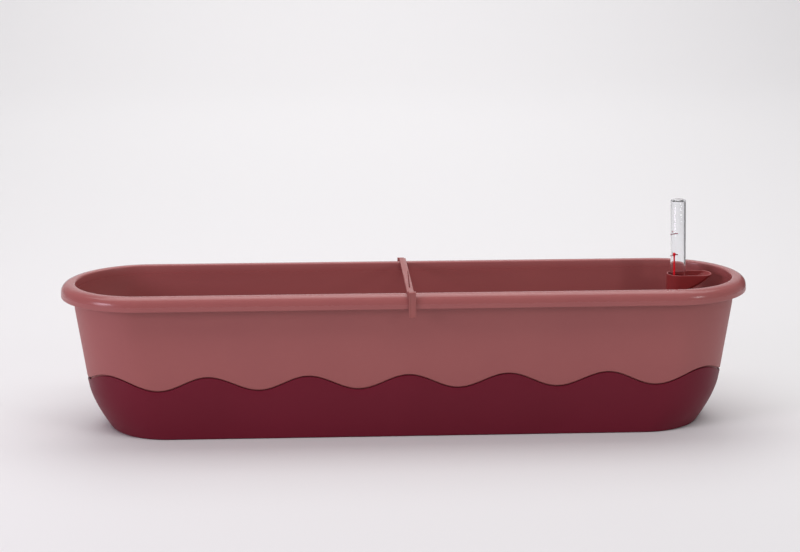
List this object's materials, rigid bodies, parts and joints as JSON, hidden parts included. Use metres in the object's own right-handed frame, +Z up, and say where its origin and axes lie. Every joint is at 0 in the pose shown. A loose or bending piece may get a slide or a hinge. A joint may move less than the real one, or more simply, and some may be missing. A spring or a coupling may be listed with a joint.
{
  "type": "self watering balcony planter",
  "caption": "Long round-ended planting trough on a water bowl, joined along a wavy line, with a filler shaft, a clear float gauge, a centre brace and felt wicks.",
  "frame": {"origin": "centre of the flat underside of the bowl", "axes": "+Z up, +X along the length towards the end with the filler shaft, +Y towards the back, where the overflow is"},
  "size_m": [0.79, 0.196, 0.2531],
  "materials": {
    "bowl": "satin bordeaux polypropylene",
    "plug": "black soft plastic",
    "trough": "satin old rose polypropylene",
    "felt": "needled polyester felt",
    "shaft": "satin deep red polypropylene",
    "clear_tube": "clear polystyrene with printed marks",
    "foam": "closed-cell foam",
    "stem": "signal red",
    "brace": "satin old rose polypropylene"
  },
  "bodies": {
    "bowl": {"reservoir_base": "bowl"},
    "plug": {"overflow_plug": "plug"},
    "trough": {"planter_body": "trough", "filler_shaft": "shaft", "wick_1": "felt", "wick_2": "felt", "wick_3": "felt", "wick_4": "felt"},
    "brace": {"centre_brace": "brace"},
    "gauge": {"gauge_tube": "clear_tube"},
    "float": {"float": "foam", "float_stem": "stem"}
  },
  "joints": [
    {"name": "trough_lift", "type": "slide", "parent": "bowl", "child": "trough", "axis": [0, 0, 1], "range_m": [0, 0.08]},
    {"name": "plug_pull", "type": "slide", "parent": "bowl", "child": "plug", "axis": [0, 1, 0], "range_m": [0, 0.022]},
    {"name": "brace_lift", "type": "slide", "parent": "trough", "child": "brace", "axis": [0, 0, 1], "range_m": [0, 0.045]},
    {"name": "gauge_pull", "type": "slide", "parent": "trough", "child": "gauge", "axis": [-0.0297, 0, 0.9996], "range_m": [0, 0.12]},
    {"name": "float_rise", "type": "slide", "parent": "trough", "child": "float", "axis": [0, 0, 1], "range_m": [0, 0.026]}
  ]
}
